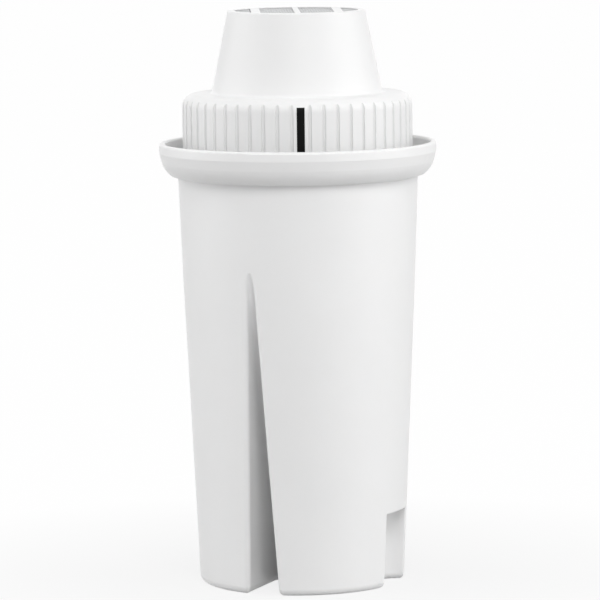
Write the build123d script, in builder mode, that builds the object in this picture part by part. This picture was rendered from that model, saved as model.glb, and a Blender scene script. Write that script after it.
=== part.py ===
"""Water pitcher filter cartridge: a tapered cup with a lipped flange and a key
slot, closed by a conical cap with a fluted collar. Millimetres, +Z up, origin
at the centre of the foot plane, key slot opening towards -Y.
"""
from build123d import *
import os
from math import cos, degrees, radians, sin

os.makedirs("parts", exist_ok=True)

# Housing: outside of the tapered cup, from the foot plane up
foot_radius = 23.65
taper_break_height = 66.0
taper_bulge = 0.125
neck_height = 93.9
neck_radius = 27.6
wall = 1.6
foot_round = 1.7
foot_flat = 0.12

# Housing: flange with an upstanding lip and a trough behind it
flange_overhang = 4.27
flange_height = 7.9
lip_thickness = 1.4
lip_round = 0.5
trough_depth = 5.8
trough_round = 1.0
underside_rise = 0.5
bowl_run = 2.67
bowl_angle = 36.0
bowl_height = 3.5
bowl_inset = 0.57
bowl_side_height = 5.7

# Housing: key slot, an inverted V that runs out on the side of the cup
slot_height = 74.3
slot_half_width = 3.6
slot_apex_half_width = 0.6
slot_apex_offset = -1.15
slot_end = -2.0
slot_edge_round = 0.9

# Housing: rounded groove low on each flank
groove_height = 17.0
groove_radius = 6.2
groove_narrowing = 0.25
groove_offset = 0.55
groove_edge_round = 0.4

# Housing: raised floor with outlet slots, inside a foot rim
rim_width = 3.2
rim_height = 1.2
floor_thickness = 2.0
outlet_slot_width = 1.2
outlet_slot_length = 4.0
inner_outlet_radius = 8.5
inner_outlet_count = 9
outer_outlet_radius = 13.4
outer_outlet_count = 17
outlet_fan = 260.0

# Cap: cone, shoulder and fluted collar, with a plug that fits the mouth of the cup
collar_height = 17.1
collar_inset = 1.15
collar_round = 2.8
shoulder_width = 6.8
cone_height = 18.9
cone_taper = 3.85
cone_top_round = 0.4
cone_foot_round = 0.8
cap_wall = 1.6
cap_inner_chamfer = 1.0
plug_depth = 5.4
plug_clearance = 0.1
plug_wall = 1.45
plug_chamfer = 0.4

# Cap: flutes round the collar, with one wide land that carries the index mark
flute_pitches = 50
flute_width = 0.9
flute_depth = 0.6
flute_foot = 1.0
wide_land_angle = 8.9
mark_azimuth = 24.0
mark_width = 1.8
mark_depth = 0.4
mark_foot = 1.4
mark_drop = 1.7

# Cap: inlet mouth crossed by three ribs that hold the woven screen
mouth_disc = 1.3
screen_grip = 0.6
screen_thickness = 0.3
screen_inset = 0.2
rib_offset = 9.4
rib_width = 2.0
centre_rib_width = 1.3

# Filling: bed of granulate between the outlet screen and the cap
head_space = 8.6
fill_gap = 0.15
outlet_screen_thickness = 0.4

# Heights and radii that follow from the sizes above
straight_taper = (neck_radius - foot_radius) / neck_height
taper_break_radius = foot_radius + straight_taper * taper_break_height + taper_bulge
flange_radius = neck_radius + flange_overhang
flange_top = neck_height + flange_height
trough_floor = flange_top - trough_depth
cup_mouth_radius = neck_radius - wall
plug_radius = cup_mouth_radius - plug_clearance
plug_bottom = trough_floor - plug_depth
floor_top = rim_height + floor_thickness
fill_height = plug_bottom - head_space
collar_radius = neck_radius - collar_inset
shoulder_height = trough_floor + collar_height
overall_height = shoulder_height + cone_height
cone_foot_radius = collar_radius - shoulder_width
cone_top_radius = cone_foot_radius - cone_taper
cap_inner_radius = plug_radius - plug_wall
cap_inner_height = shoulder_height - cap_wall
mouth_radius = cone_top_radius - cap_wall
screen_radius = mouth_radius + screen_grip
mark_angle = mark_azimuth - 90
mark_foot_height = trough_floor + mark_foot
mark_top_height = shoulder_height - mark_drop
screen_top = overall_height - screen_inset
slot_apex_left = slot_apex_offset - slot_apex_half_width
slot_apex_right = slot_apex_offset + slot_apex_half_width
groove_centre = foot_radius + groove_offset
groove_draft = groove_narrowing / groove_height

# How far cutting tools run past the solid, and how far edge selections reach past a feature
beyond = 10.0
margin = 1.0
touch = 0.01
hanging = (Align.CENTER, Align.CENTER, Align.MAX)


def cup_radius(height):
    """Outer radius of the tapered cup at one height."""
    if height < taper_break_height:
        share = height / taper_break_height
        return foot_radius + (taper_break_radius - foot_radius) * share
    share = (height - taper_break_height) / (neck_height - taper_break_height)
    return taper_break_radius + (neck_radius - taper_break_radius) * share


# Inner end of the key slot where it runs out on the side of the cup
slot_apex_end = -cup_radius(slot_height)


def slot_blade(low, high, grow):
    """Solid of the key slot between two heights, its walls and inner end moved out by grow."""
    with BuildPart() as blade:
        for height in (low, high):
            share = height / slot_height
            left = -slot_half_width + (slot_apex_left + slot_half_width) * share - grow
            right = slot_half_width + (slot_apex_right - slot_half_width) * share + grow
            end = slot_end + (slot_apex_end - slot_end) * share + grow
            middle = (left + right) / 2
            spring = end - (right - left) / 2
            outside = -(flange_radius + beyond)
            with BuildSketch(Plane.XY.offset(height)):
                with BuildLine():
                    Line((left, outside), (left, spring))
                    ThreePointArc((left, spring), (middle, end), (right, spring))
                    Line((right, spring), (right, outside))
                    Line((right, outside), (left, outside))
                make_face()
        loft(ruled=True)
    return blade.part


def flank_groove(side, low, grow):
    """Solid of the groove on one flank, its wall and its ceiling moved out by grow."""
    with BuildPart() as groove:
        for height in (low, groove_height + grow):
            with BuildSketch(Plane.XY.offset(height)):
                with Locations((side * groove_centre, 0)):
                    Circle(groove_radius - groove_draft * height + grow)
        loft(ruled=True)
    return groove.part


def cup_space(low, high, gap):
    """Inside of the cup between two heights, kept back by gap from its walls."""
    inset = wall + gap
    blade = slot_blade(low - beyond, slot_height + beyond, inset)
    grooves = [flank_groove(side, low - beyond, inset) for side in (-1, 1)]
    with BuildPart() as space:
        with BuildSketch(Plane.XZ):
            with BuildLine():
                Polyline(
                    (0, low),
                    (cup_radius(low) - inset, low),
                    (taper_break_radius - inset, taper_break_height),
                    (cup_radius(plug_bottom) - inset, plug_bottom),
                    (cup_mouth_radius - gap, plug_bottom),
                    (cup_mouth_radius - gap, trough_floor + beyond),
                    (0, trough_floor + beyond),
                    close=True,
                )
            make_face()
        revolve(axis=Axis.Z)
        add(blade, mode=Mode.SUBTRACT)
        add(grooves, mode=Mode.SUBTRACT)
        split(bisect_by=Plane.XY.offset(high), keep=Keep.BOTTOM)
    return space.part


# Tools that cut the housing, made before the blocks that use them
slot_tool = slot_blade(-beyond, slot_height + beyond, 0)
groove_tools = [flank_groove(side, -beyond, 0) for side in (-1, 1)]
inside = cup_space(floor_top, trough_floor + wall, 0)
underside = cup_space(-margin, rim_height, rim_width - wall)
outlet_sheet = cup_space(floor_top, floor_top + outlet_screen_thickness, fill_gap)
granulate = cup_space(floor_top + outlet_screen_thickness, fill_height, fill_gap)

# Cutter for the underside, with flared roots that round the bottom edges of slot and grooves
with BuildPart() as foot_cutter:
    with Locations((0, 0, -foot_flat)):
        Box(2 * flange_radius, 2 * flange_radius, beyond, align=hanging)
    plate_edges = edges()
    add(slot_tool)
    add(groove_tools)
    roots = (edges() - plate_edges).filter_by_position(Axis.Z, -foot_flat - touch, -foot_flat + touch)
    fillet(roots.filter_by_position(Axis.Y, margin - flange_radius, flange_radius - margin), foot_round)

# Housing: one moulded cup with flange, key slot, flank grooves and outlet floor
with BuildPart() as housing:
    with BuildSketch(Plane.XZ):
        with BuildLine():
            bowl_start = (flange_radius - bowl_run, neck_height + underside_rise)
            bowl_end = (flange_radius - bowl_inset, neck_height + bowl_height)
            Polyline(
                (0, -foot_flat),
                (cup_radius(-foot_flat), -foot_flat),
                (taper_break_radius, taper_break_height),
                (neck_radius, neck_height),
                bowl_start,
            )
            TangentArc(bowl_start, bowl_end, tangent=(cos(radians(bowl_angle)), sin(radians(bowl_angle))))
            Polyline(
                bowl_end,
                (flange_radius, neck_height + bowl_side_height),
                (flange_radius, flange_top),
                (flange_radius - lip_thickness, flange_top),
                (flange_radius - lip_thickness, trough_floor),
                (0, trough_floor),
                (0, -foot_flat),
            )
        make_face()
        fillet(vertices().sort_by_distance((foot_radius, -foot_flat))[0], foot_round)
        fillet(vertices().group_by(Axis.Y)[-1], lip_round)
        fillet(vertices().sort_by_distance((flange_radius - lip_thickness, trough_floor))[0], trough_round)
    revolve(axis=Axis.Z)
    split(bisect_by=Plane.XY, keep=Keep.TOP)
    add(slot_tool, mode=Mode.SUBTRACT)
    mouth = edges().filter_by_position(Axis.X, -slot_half_width - margin, slot_half_width + margin)
    mouth = mouth.filter_by_position(Axis.Z, foot_flat, slot_height + margin)
    mouth = mouth.filter_by_position(Axis.Y, -flange_radius, foot_round - foot_radius + margin)
    fillet(mouth, slot_edge_round)
    add(groove_tools, mode=Mode.SUBTRACT)
    rims = edges().filter_by_position(Axis.Z, foot_flat, groove_height + margin)
    rims = rims.filter_by_position(Axis.Y, -groove_radius, groove_radius)
    fillet(rims.filter_by(lambda edge: abs(edge.center().X) > groove_centre - wall), groove_edge_round)
    add(foot_cutter.part, mode=Mode.SUBTRACT)
    add(inside, mode=Mode.SUBTRACT)
    add(underside, mode=Mode.SUBTRACT)
    with BuildSketch(Plane.XY.offset(rim_height)):
        for radius, count in (
            (inner_outlet_radius, inner_outlet_count),
            (outer_outlet_radius, outer_outlet_count),
        ):
            with PolarLocations(radius, count, 90 - outlet_fan / 2, outlet_fan, endpoint=True):
                SlotOverall(outlet_slot_length, outlet_slot_width)
    extrude(amount=floor_thickness, mode=Mode.SUBTRACT)

# Cap before its index mark: a turned shell with a fluted collar and a ribbed mouth
with BuildPart() as cap_shell:
    with BuildSketch(Plane.XZ):
        with BuildLine():
            Polyline(
                (0, overall_height),
                (cone_top_radius, overall_height),
                (cone_foot_radius, shoulder_height),
                (collar_radius, shoulder_height),
                (collar_radius, trough_floor),
                (plug_radius, trough_floor),
                (plug_radius, plug_bottom),
                (cap_inner_radius, plug_bottom),
                (cap_inner_radius, cap_inner_height),
                (cone_foot_radius - cap_wall, cap_inner_height),
                (cone_top_radius - cap_wall, overall_height - mouth_disc),
                (0, overall_height - mouth_disc),
                close=True,
            )
        make_face()
        fillet(vertices().sort_by_distance((cone_top_radius, overall_height))[0], cone_top_round)
        fillet(vertices().sort_by_distance((cone_foot_radius, shoulder_height))[0], cone_foot_round)
        fillet(vertices().sort_by_distance((collar_radius, shoulder_height))[0], collar_round)
        chamfer(vertices().sort_by_distance((cap_inner_radius, cap_inner_height))[0], cap_inner_chamfer)
        chamfer(vertices().sort_by_distance((plug_radius, plug_bottom))[0], plug_chamfer)
    revolve(axis=Axis.Z)
    with BuildSketch(Plane.XY.offset(trough_floor + flute_foot)):
        with PolarLocations(
            collar_radius,
            flute_pitches + 1,
            mark_angle + wide_land_angle / 2,
            360 - wide_land_angle,
            endpoint=True,
        ):
            SlotOverall(2 * flute_depth, flute_width)
    extrude(amount=shoulder_height - trough_floor, mode=Mode.SUBTRACT)
    ribs_along_mark = Plane(
        origin=(0, 0, overall_height),
        x_dir=(cos(radians(mark_angle)), sin(radians(mark_angle)), 0),
        z_dir=(0, 0, 1),
    )
    with BuildSketch(ribs_along_mark):
        Circle(mouth_radius)
        Rectangle(2 * mouth_radius, centre_rib_width, mode=Mode.SUBTRACT)
        with Locations((0, -rib_offset), (0, rib_offset)):
            Rectangle(2 * mouth_radius, rib_width, mode=Mode.SUBTRACT)
    extrude(amount=-mouth_disc - margin, mode=Mode.SUBTRACT)
    with Locations((0, 0, screen_top)):
        Cylinder(screen_radius, screen_thickness, align=hanging, mode=Mode.SUBTRACT)

# Pocket for the index mark in the wide land of the collar
mark_arc = degrees(mark_width / collar_radius)
mark_side = radians(mark_angle - mark_arc / 2)
mark_plane = Plane(
    origin=(0, 0, 0),
    x_dir=(cos(mark_side), sin(mark_side), 0),
    z_dir=(sin(mark_side), -cos(mark_side), 0),
)
with BuildPart() as mark_pocket:
    with BuildSketch(mark_plane):
        with Locations((collar_radius - mark_depth, mark_foot_height)):
            Rectangle(beyond, mark_top_height - mark_foot_height, align=(Align.MIN, Align.MIN))
    revolve(axis=Axis.Z, revolution_arc=mark_arc)

# Cap: the shell with the pocket taken out of it
with BuildPart() as cap:
    add(cap_shell.part)
    add(mark_pocket.part, mode=Mode.SUBTRACT)

# Index mark: black bar inlaid flush with the collar
with BuildPart() as index_mark:
    add(cap_shell.part)
    add(mark_pocket.part, mode=Mode.INTERSECT)

# Inlet screen: woven disc moulded into the ribs of the mouth
with BuildPart() as inlet_screen:
    with Locations((0, 0, screen_top)):
        Cylinder(screen_radius, screen_thickness, align=hanging)

# Outlet screen: woven sheet that lies on the floor of the cup over the outlet slots
with BuildPart() as outlet_screen:
    add(outlet_sheet)

# Media bed: granulate that fills the cup above the outlet screen
with BuildPart() as media_bed:
    add(granulate)

for piece, name in (
    (housing, "housing"),
    (cap, "cap"),
    (index_mark, "index_mark"),
    (inlet_screen, "inlet_screen"),
    (outlet_screen, "outlet_screen"),
    (media_bed, "media_bed"),
):
    piece.part.label = name
    export_step(piece.part, f"parts/{name}.step")
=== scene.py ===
"""Water pitcher filter cartridge, standing upright in a plain white room."""

import math

import bmesh
import bpy
from mathutils import Matrix, Vector


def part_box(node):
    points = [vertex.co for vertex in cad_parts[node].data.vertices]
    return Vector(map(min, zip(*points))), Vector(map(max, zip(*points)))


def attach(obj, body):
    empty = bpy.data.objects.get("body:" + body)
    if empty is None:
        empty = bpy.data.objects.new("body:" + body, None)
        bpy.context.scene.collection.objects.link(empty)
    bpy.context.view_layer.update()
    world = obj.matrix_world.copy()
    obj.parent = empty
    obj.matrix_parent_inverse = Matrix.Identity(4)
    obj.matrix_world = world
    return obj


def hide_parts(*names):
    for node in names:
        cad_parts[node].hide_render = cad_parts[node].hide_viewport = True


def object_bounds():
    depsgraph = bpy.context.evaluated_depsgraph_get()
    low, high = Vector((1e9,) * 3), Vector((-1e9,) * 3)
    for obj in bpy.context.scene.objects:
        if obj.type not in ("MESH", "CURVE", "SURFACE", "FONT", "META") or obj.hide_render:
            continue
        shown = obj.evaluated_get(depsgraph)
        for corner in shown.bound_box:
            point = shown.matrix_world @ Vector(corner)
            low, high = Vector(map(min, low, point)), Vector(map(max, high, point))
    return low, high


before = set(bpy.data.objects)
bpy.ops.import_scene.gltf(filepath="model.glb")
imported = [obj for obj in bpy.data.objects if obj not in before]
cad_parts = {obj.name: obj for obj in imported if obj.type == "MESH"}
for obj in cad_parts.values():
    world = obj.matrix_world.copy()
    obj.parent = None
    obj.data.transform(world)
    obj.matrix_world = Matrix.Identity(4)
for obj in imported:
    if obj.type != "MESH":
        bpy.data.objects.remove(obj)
cad_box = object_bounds()

MM = 0.001

# Where the camera stood: its turn round the cartridge, its distance from the axis and its height
CAMERA_AZIMUTH = math.radians(22.4)
CAMERA_DISTANCE = 969 * MM
CAMERA_HEIGHT = 178 * MM
CAMERA_PITCH = math.radians(6.648)
CAMERA_YAW = math.radians(-0.008)
CAMERA_ROLL = math.radians(0.64)
SENSOR_WIDTH = 36.0
PICTURE_WIDTH = 600
FOCAL_PIXELS = 4222

# Brightness of the room: what lights the cartridge, and what the camera and reflections see
ROOM_LIGHT = 0.16
WHITE = 1.0

# Weave of the inlet screen, drawn at the finest spacing that the render can show
THREAD_PITCH = 0.6 * MM
THREAD_DIAMETER = 0.15 * MM
THREAD_SIDES = 6
THREAD_SEAT = 0.2 * MM

FLOOR_RADIUS = 9.0
FLOOR_SIDES = 96

# How white the camera sees the floor: less at the foot than away from it, which lets the real
# shadow show there and also paints shade round the foot where no shadow falls
SHADOW_START = 20 * MM
SHADOW_END = 120 * MM
GLOW_AT_FOOT = 0.82
GLOW_AWAY = 0.99


def linear(hex_colour):
    """Linear colour of six sRGB hex digits."""
    parts = [int(hex_colour[i:i + 2], 16) / 255 for i in (0, 2, 4)]
    return [p / 12.92 if p <= 0.04045 else ((p + 0.055) / 1.055) ** 2.4 for p in parts] + [1.0]


def add_node(tree, kind, properties=None, inputs=None, links=None):
    """Adds a node, sets its properties and its sockets, and links sockets to other outputs."""
    node = tree.nodes.new(kind)
    for name, value in (properties or {}).items():
        setattr(node, name, value)
    for name, value in (inputs or {}).items():
        node.inputs[name].default_value = value
    for name, output in (links or {}).items():
        tree.links.new(output, node.inputs[name])
    return node


def new_material(name):
    """An empty node material, its output, and the object coordinates that its patterns follow."""
    material = bpy.data.materials.new(name)
    material.use_nodes = True
    material.node_tree.nodes.clear()
    output = add_node(material.node_tree, "ShaderNodeOutputMaterial")
    place = add_node(material.node_tree, "ShaderNodeTexCoord").outputs["Object"]
    return material, material.node_tree, output, place


def per_metre(feature_mm):
    """Pattern scale whose features are so many millimetres across."""
    return 1 / (feature_mm * MM)


def share_seen(tree):
    """1 for what the camera sees, straight or through gloss or glass, and 0 for what lights it."""
    path = add_node(tree, "ShaderNodeLightPath")
    seen = path.outputs["Is Camera Ray"]
    for kind in ("Is Glossy Ray", "Is Transmission Ray"):
        either = add_node(
            tree, "ShaderNodeMath",
            properties={"operation": "MAXIMUM"},
            links={0: seen, 1: path.outputs[kind]},
        )
        seen = either.outputs["Value"]
    return seen


def moulded_polypropylene(
    name, colour, shade, roughness, grain_mm, grain_depth_mm, milkiness, glare
):
    """Injection-moulded polypropylene: milky, with faint flow clouds and its mould's fine grain."""
    material, tree, output, place = new_material(name)
    flow = add_node(
        tree, "ShaderNodeTexNoise",
        inputs={"Scale": per_metre(14), "Detail": 3.0, "Roughness": 0.55},
        links={"Vector": place},
    )
    cloud = add_node(
        tree, "ShaderNodeMix",
        properties={"data_type": "RGBA"},
        links={0: flow.outputs["Fac"]},
    )
    cloud.inputs[6].default_value = linear(shade)
    cloud.inputs[7].default_value = linear(colour)
    grain = add_node(
        tree, "ShaderNodeTexNoise",
        inputs={"Scale": per_metre(grain_mm), "Detail": 2.0, "Roughness": 0.6},
        links={"Vector": place},
    )
    sheen_change = add_node(
        tree, "ShaderNodeMapRange",
        inputs={"To Min": roughness - 0.05, "To Max": roughness + 0.06},
        links={"Value": grain.outputs["Fac"]},
    )
    relief = add_node(
        tree, "ShaderNodeBump",
        inputs={"Strength": 0.6, "Distance": grain_depth_mm * MM},
        links={"Height": grain.outputs["Fac"]},
    )
    shader = add_node(
        tree, "ShaderNodeBsdfPrincipled",
        inputs={
            "IOR": 1.49,
            "Specular IOR Level": glare,
            "Subsurface Weight": milkiness,
            "Subsurface Radius": (1.0, 0.95, 0.9),
            "Subsurface Scale": 1.2 * MM,
        },
        links={
            "Base Color": cloud.outputs[2],
            "Roughness": sheen_change.outputs["Result"],
            "Normal": relief.outputs["Normal"],
        },
    )
    tree.links.new(shader.outputs["BSDF"], output.inputs["Surface"])
    return material


def pad_printed_ink():
    """Pad-printed black ink: a dead flat black, with the slight mottle that the pad leaves."""
    material, tree, output, place = new_material("pad_printed_black_ink")
    mottle = add_node(
        tree, "ShaderNodeTexNoise",
        inputs={"Scale": per_metre(0.5), "Detail": 3.0},
        links={"Vector": place},
    )
    tone = add_node(tree, "ShaderNodeValToRGB", links={"Fac": mottle.outputs["Fac"]})
    tone.color_ramp.elements[0].color = linear("060606")
    tone.color_ramp.elements[1].color = linear("0B0B0C")
    relief = add_node(
        tree, "ShaderNodeBump",
        inputs={"Strength": 0.5, "Distance": 0.02 * MM},
        links={"Height": mottle.outputs["Fac"]},
    )
    shader = add_node(
        tree, "ShaderNodeBsdfPrincipled",
        inputs={"Roughness": 0.6, "Specular IOR Level": 0.08},
        links={"Base Color": tone.outputs["Color"], "Normal": relief.outputs["Normal"]},
    )
    tree.links.new(shader.outputs["BSDF"], output.inputs["Surface"])
    return material


def monofilament():
    """Woven polyester monofilament: smooth pale threads, a little greyer in random patches."""
    material, tree, output, place = new_material("woven_polyester_monofilament")
    drawn = add_node(
        tree, "ShaderNodeTexNoise",
        inputs={"Scale": per_metre(1.2), "Detail": 2.0},
        links={"Vector": place},
    )
    tone = add_node(tree, "ShaderNodeValToRGB", links={"Fac": drawn.outputs["Fac"]})
    tone.color_ramp.elements[0].color = linear("B4B5B6")
    tone.color_ramp.elements[1].color = linear("CCCDCE")
    shader = add_node(
        tree, "ShaderNodeBsdfPrincipled",
        inputs={"Roughness": 0.4, "IOR": 1.57},
        links={"Base Color": tone.outputs["Color"]},
    )
    tree.links.new(shader.outputs["BSDF"], output.inputs["Surface"])
    return material


def woven_sheet():
    """Fine woven sheet seen flat: threads crossing every 0.4 mm, darker in the gaps between."""
    material, tree, output, place = new_material("woven_polyester_sheet")
    waves = []
    for direction in ("X", "Y"):
        waves.append(add_node(
            tree, "ShaderNodeTexWave",
            properties={"bands_direction": direction},
            inputs={"Scale": per_metre(0.4) / 10 * math.pi},
            links={"Vector": place},
        ))
    higher = add_node(
        tree, "ShaderNodeMath",
        properties={"operation": "MAXIMUM"},
        links={0: waves[0].outputs["Fac"], 1: waves[1].outputs["Fac"]},
    )
    tone = add_node(tree, "ShaderNodeValToRGB", links={"Fac": higher.outputs["Value"]})
    tone.color_ramp.elements[0].color = linear("55565A")
    tone.color_ramp.elements[1].color = linear("C6C7C8")
    relief = add_node(
        tree, "ShaderNodeBump",
        inputs={"Strength": 1.0, "Distance": 0.1 * MM},
        links={"Height": higher.outputs["Value"]},
    )
    shader = add_node(
        tree, "ShaderNodeBsdfPrincipled",
        inputs={"Roughness": 0.5, "IOR": 1.57},
        links={"Base Color": tone.outputs["Color"], "Normal": relief.outputs["Normal"]},
    )
    tree.links.new(shader.outputs["BSDF"], output.inputs["Surface"])
    return material


def carbon_and_resin_granulate():
    """Activated carbon mixed with resin beads: black and amber grains about 0.8 mm across."""
    material, tree, output, place = new_material("activated_carbon_granulate")
    grains = add_node(
        tree, "ShaderNodeTexVoronoi",
        inputs={"Scale": per_metre(0.8)},
        links={"Vector": place},
    )
    sort = add_node(tree, "ShaderNodeSeparateColor", links={"Color": grains.outputs["Color"]})
    tone = add_node(tree, "ShaderNodeValToRGB", links={"Fac": sort.outputs["Red"]})
    tone.color_ramp.interpolation = "CONSTANT"
    tone.color_ramp.elements[0].color = linear("1B1A1A")
    tone.color_ramp.elements[1].position = 0.6
    tone.color_ramp.elements[1].color = linear("8A6A3C")
    relief = add_node(
        tree, "ShaderNodeBump",
        properties={"invert": True},
        inputs={"Strength": 1.0, "Distance": 0.4 * MM},
        links={"Height": grains.outputs["Distance"]},
    )
    shader = add_node(
        tree, "ShaderNodeBsdfPrincipled",
        inputs={"Roughness": 0.75},
        links={"Base Color": tone.outputs["Color"], "Normal": relief.outputs["Normal"]},
    )
    tree.links.new(shader.outputs["BSDF"], output.inputs["Surface"])
    return material


def plain_floor():
    """Pale floor that the camera sees white, greyer round the foot with its faint real shadow and
    painted shade; clear from below.
    """
    material, tree, output, place = new_material("plain_pale_floor")
    mottle = add_node(
        tree, "ShaderNodeTexNoise",
        inputs={"Scale": per_metre(60)},
        links={"Vector": place},
    )
    tone = add_node(tree, "ShaderNodeValToRGB", links={"Fac": mottle.outputs["Fac"]})
    tone.color_ramp.elements[0].color = linear("C4C4C4")
    tone.color_ramp.elements[1].color = linear("C8C8C8")
    matt = add_node(tree, "ShaderNodeBsdfDiffuse", links={"Color": tone.outputs["Color"]})
    glow = add_node(
        tree, "ShaderNodeEmission",
        inputs={"Color": linear("FFFFFF"), "Strength": WHITE},
    )
    distance = add_node(
        tree, "ShaderNodeVectorMath",
        properties={"operation": "LENGTH"},
        links={0: place},
    )
    # Glow share falls towards the foot: the real shadow shows there, and the floor round the foot
    # is greyer with painted shade
    whiteness = add_node(
        tree, "ShaderNodeMapRange",
        inputs={
            "From Min": SHADOW_START,
            "From Max": SHADOW_END,
            "To Min": GLOW_AT_FOOT,
            "To Max": GLOW_AWAY,
        },
        links={"Value": distance.outputs["Value"]},
    )
    share = add_node(
        tree, "ShaderNodeMath",
        properties={"operation": "MULTIPLY"},
        links={0: share_seen(tree), 1: whiteness.outputs["Result"]},
    )
    top = add_node(
        tree, "ShaderNodeMixShader",
        links={0: share.outputs["Value"], 1: matt.outputs["BSDF"], 2: glow.outputs["Emission"]},
    )
    clear = add_node(tree, "ShaderNodeBsdfTransparent")
    side = add_node(tree, "ShaderNodeNewGeometry")
    both = add_node(
        tree, "ShaderNodeMixShader",
        links={0: side.outputs["Backfacing"], 1: top.outputs["Shader"], 2: clear.outputs["BSDF"]},
    )
    tree.links.new(both.outputs["Shader"], output.inputs["Surface"])
    return material


def white_room():
    """World that lights softly from all round and that the camera and reflections see as white."""
    world = bpy.data.worlds.new("white_room")
    world.use_nodes = True
    tree = world.node_tree
    tree.nodes.clear()
    strength = add_node(
        tree, "ShaderNodeMapRange",
        inputs={"To Min": ROOM_LIGHT, "To Max": WHITE},
        links={"Value": share_seen(tree)},
    )
    light = add_node(
        tree, "ShaderNodeBackground",
        inputs={"Color": linear("FFFFFF")},
        links={"Strength": strength.outputs["Result"]},
    )
    output = add_node(tree, "ShaderNodeOutputWorld", links={"Surface": light.outputs["Background"]})
    bpy.context.scene.world = world


def seen_from(azimuth_degrees, distance, height):
    """Point so many degrees round to the right of the camera, at a distance and a height."""
    turn = CAMERA_AZIMUTH + math.radians(azimuth_degrees)
    return Vector((math.sin(turn) * distance, -math.cos(turn) * distance, height))


def add_softbox(name, place, size, power):
    """Square lamp of a size in metres and a power in watts that faces the cartridge's middle."""
    lamp = bpy.data.lights.new(name, "AREA")
    lamp.shape = "SQUARE"
    lamp.size = size
    lamp.energy = power
    softbox = bpy.data.objects.new(name, lamp)
    bpy.context.scene.collection.objects.link(softbox)
    middle = (cad_box[0] + cad_box[1]) / 2
    softbox.location = place
    softbox.rotation_euler = (middle - place).to_track_quat("-Z", "Y").to_euler()


def add_camera():
    """Camera at the photograph's angle, distance and framing."""
    camera = bpy.data.cameras.new("camera")
    camera.sensor_width = SENSOR_WIDTH
    camera.lens = FOCAL_PIXELS / PICTURE_WIDTH * SENSOR_WIDTH
    camera.clip_start = 0.01
    camera.clip_end = 50
    holder = bpy.data.objects.new("camera", camera)
    bpy.context.scene.collection.objects.link(holder)
    upright = math.pi / 2 - CAMERA_PITCH
    turned = Matrix.Rotation(CAMERA_AZIMUTH + CAMERA_YAW, 4, "Z") @ Matrix.Rotation(upright, 4, "X")
    rolled = turned @ Matrix.Rotation(-CAMERA_ROLL, 4, "Z")
    holder.matrix_world = Matrix.Translation(seen_from(0, CAMERA_DISTANCE, CAMERA_HEIGHT)) @ rolled
    bpy.context.scene.camera = holder


def add_piece(name, mesh, material):
    """New object for a finished mesh, with its material."""
    data = bpy.data.meshes.new(name)
    bmesh.ops.recalc_face_normals(mesh, faces=mesh.faces)
    mesh.to_mesh(data)
    mesh.free()
    data.materials.append(material)
    piece = bpy.data.objects.new(name, data)
    bpy.context.scene.collection.objects.link(piece)
    return piece


def add_floor():
    """Round floor under the cartridge, wide enough to fill the picture."""
    mesh = bmesh.new()
    bmesh.ops.create_circle(mesh, cap_ends=True, segments=FLOOR_SIDES, radius=FLOOR_RADIUS)
    floor = add_piece("floor", mesh, plain_floor())


def add_thread(mesh, half_length, offset, turn, phase):
    """Adds one thread of a plain weave, which passes over and under at every crossing."""
    crossings = math.ceil(half_length / THREAD_PITCH)
    thread = bmesh.new()
    bmesh.ops.create_cone(
        thread,
        cap_ends=True,
        segments=THREAD_SIDES,
        radius1=THREAD_DIAMETER / 2,
        radius2=THREAD_DIAMETER / 2,
        depth=2 * crossings * THREAD_PITCH,
    )
    lengthwise = [e for e in thread.edges if abs(e.verts[0].co.z - e.verts[1].co.z) > THREAD_PITCH]
    bmesh.ops.subdivide_edges(thread, edges=lengthwise, cuts=2 * crossings - 1, use_grid_fill=True)
    for vert in thread.verts:
        over = 1 if (round(vert.co.z / THREAD_PITCH) + phase) % 2 else -1
        vert.co.x += over * THREAD_DIAMETER / 2
        vert.co.z = max(-half_length, min(half_length, vert.co.z))
    bmesh.ops.rotate(thread, verts=thread.verts, matrix=Matrix.Rotation(math.pi / 2, 3, "Y"))
    bmesh.ops.translate(thread, verts=thread.verts, vec=(0, offset, 0))
    bmesh.ops.rotate(thread, verts=thread.verts, matrix=Matrix.Rotation(turn, 3, "Z"))
    part = bpy.data.meshes.new("thread")
    thread.to_mesh(part)
    thread.free()
    mesh.from_mesh(part)
    bpy.data.meshes.remove(part)


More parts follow.
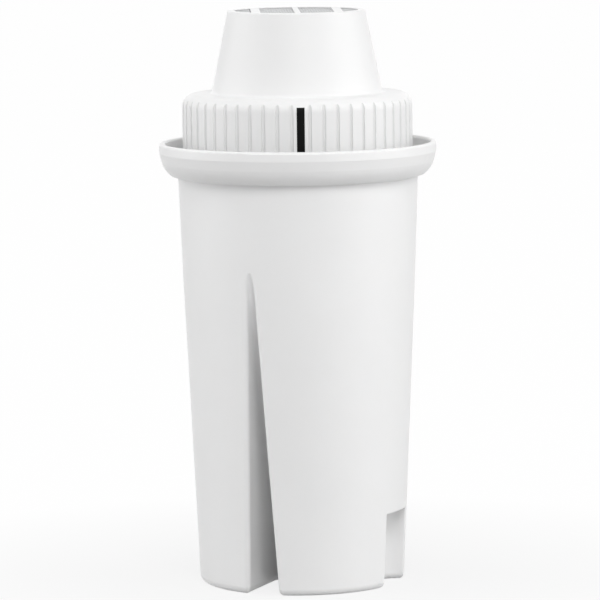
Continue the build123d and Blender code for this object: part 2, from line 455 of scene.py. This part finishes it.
def add_inlet_mesh(material):
    """Woven disc in the mouth of the cap, its thread ends held in the rim."""
    low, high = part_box("inlet_screen")
    radius = (high.x - low.x) / 2 - THREAD_SEAT
    mesh = bmesh.new()
    rows = int(radius / THREAD_PITCH)
    for row in range(-rows, rows + 1):
        offset = row * THREAD_PITCH
        half_length = math.sqrt(radius ** 2 - offset ** 2)
        add_thread(mesh, half_length, offset, 0, row)
        add_thread(mesh, half_length, offset, math.pi / 2, row + 1)
    mark_low, mark_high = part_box("index_mark")
    towards_mark = math.atan2((mark_low.y + mark_high.y) / 2, (mark_low.x + mark_high.x) / 2)
    bmesh.ops.rotate(mesh, verts=mesh.verts, matrix=Matrix.Rotation(towards_mark, 3, "Z"))
    bmesh.ops.translate(mesh, verts=mesh.verts, vec=(0, 0, (low.z + high.z) / 2))
    woven = add_piece("inlet_mesh", mesh, material)
    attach(woven, "root")
    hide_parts("inlet_screen")


def dress(node, material):
    """Gives a CAD node its finished material."""
    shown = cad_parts[node]
    shown.data.materials.clear()
    shown.data.materials.append(material)


bpy.context.scene.view_settings.view_transform = "Standard"
add_camera()
white_room()
add_floor()
add_softbox("front_softbox", seen_from(8, 0.8, 0.7), 0.5, 5.1)
add_softbox("high_softbox", seen_from(-30, 0.55, 1.0), 0.5, 1.3)
add_softbox("right_softbox", seen_from(79, 1.0, 0.5), 1.1, 7.9)
add_softbox("left_softbox", seen_from(-95, 1.0, 0.5), 1.1, 7.4)
add_softbox("back_softbox", seen_from(180, 1.0, 0.55), 1.2, 1.4)

dress("housing", moulded_polypropylene(
    "satin_moulded_polypropylene",
    colour="ECECEC",
    shade="E8E8E8",
    roughness=0.42,
    grain_mm=0.5,
    grain_depth_mm=0.012,
    milkiness=0.15,
    glare=0.4,
))
dress("cap", moulded_polypropylene(
    "gloss_moulded_polypropylene",
    colour="E9E9E9",
    shade="E7E7E7",
    roughness=0.36,
    grain_mm=0.8,
    grain_depth_mm=0.004,
    milkiness=0.1,
    glare=0.2,
))
dress("index_mark", pad_printed_ink())
dress("outlet_screen", woven_sheet())
dress("media_bed", carbon_and_resin_granulate())
add_inlet_mesh(monofilament())
